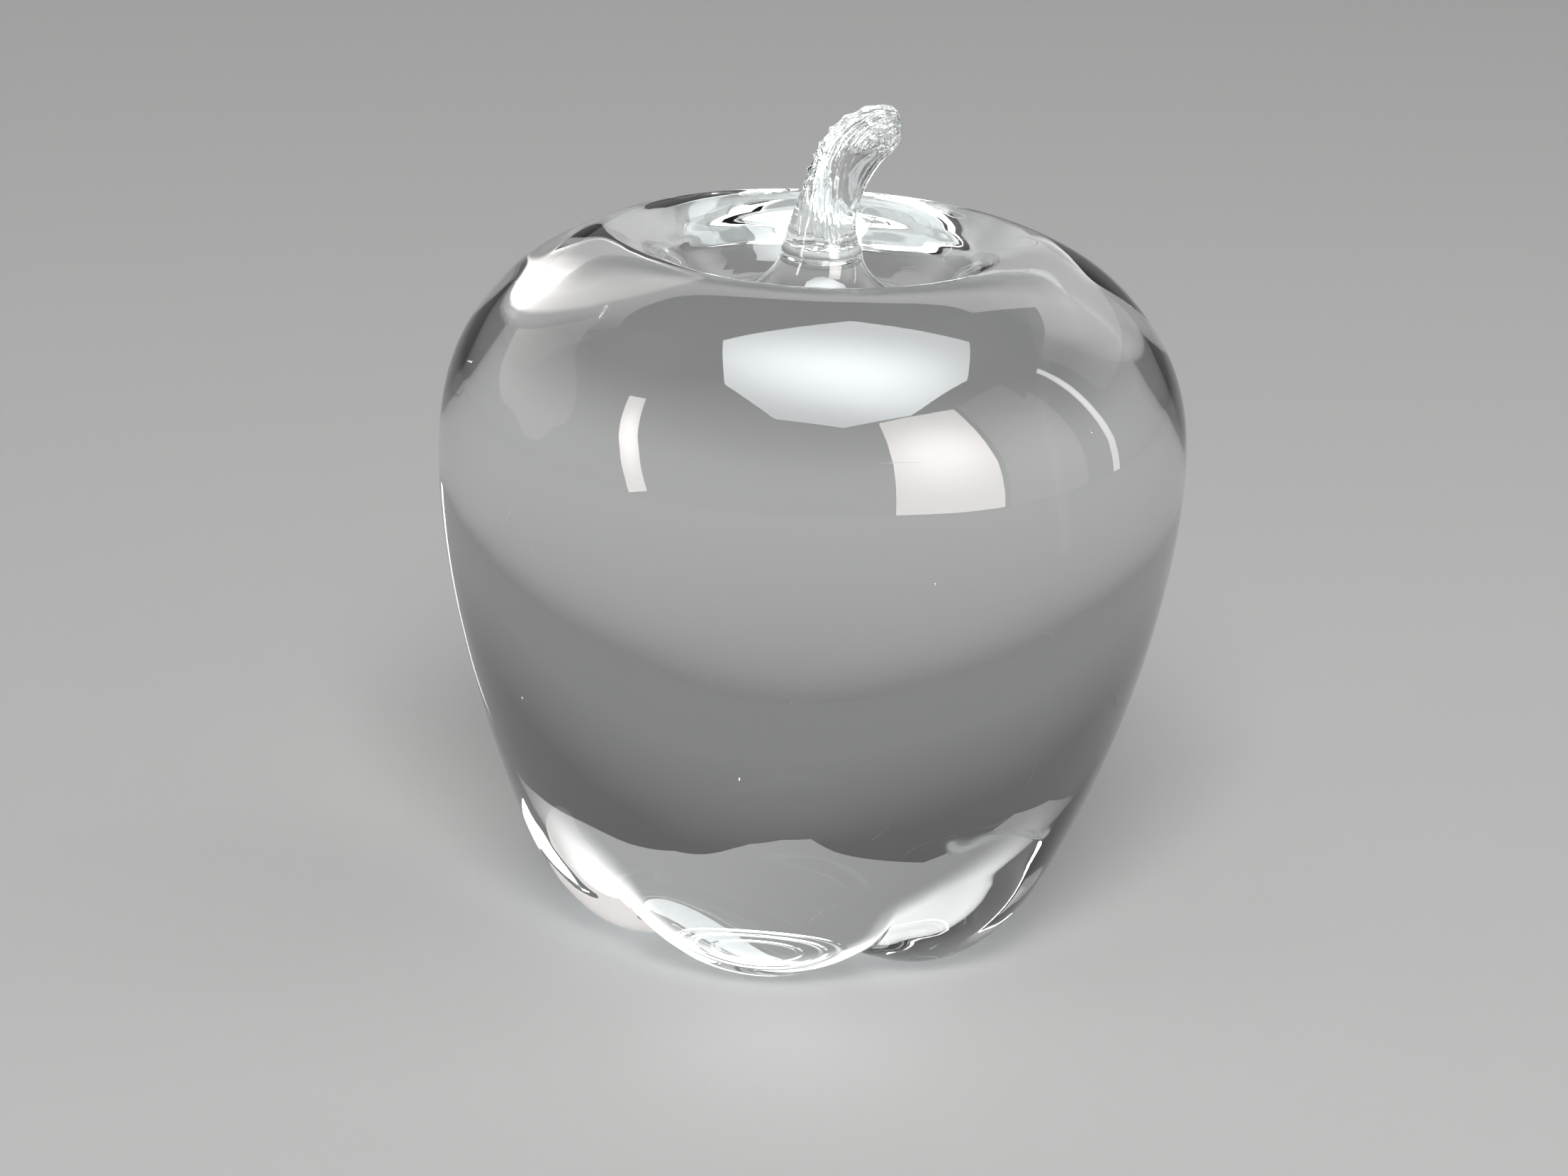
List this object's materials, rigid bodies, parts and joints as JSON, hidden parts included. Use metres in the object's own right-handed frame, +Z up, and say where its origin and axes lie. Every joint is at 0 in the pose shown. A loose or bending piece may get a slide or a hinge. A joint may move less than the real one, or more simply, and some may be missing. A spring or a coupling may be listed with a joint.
{
  "type": "art glass apple",
  "caption": "Solid clear glass apple paperweight with a lobed base, a hollow top and a separate curved stem fused to its neck.",
  "frame": {"origin": "on the table plane, on the axis of the apple body", "axes": "+Z up along the body's axis; +X to the right, the way the stem leans; the front of the apple faces -Y"},
  "size_m": [0.0882, 0.0882, 0.101],
  "materials": {
    "clear_crystal": "fire-polished colourless crystal glass, smooth and fully transparent, refractive index about 1.52"
  },
  "bodies": {
    "root": {"apple_body": "clear_crystal", "stem": "clear_crystal"}
  },
  "joints": []
}
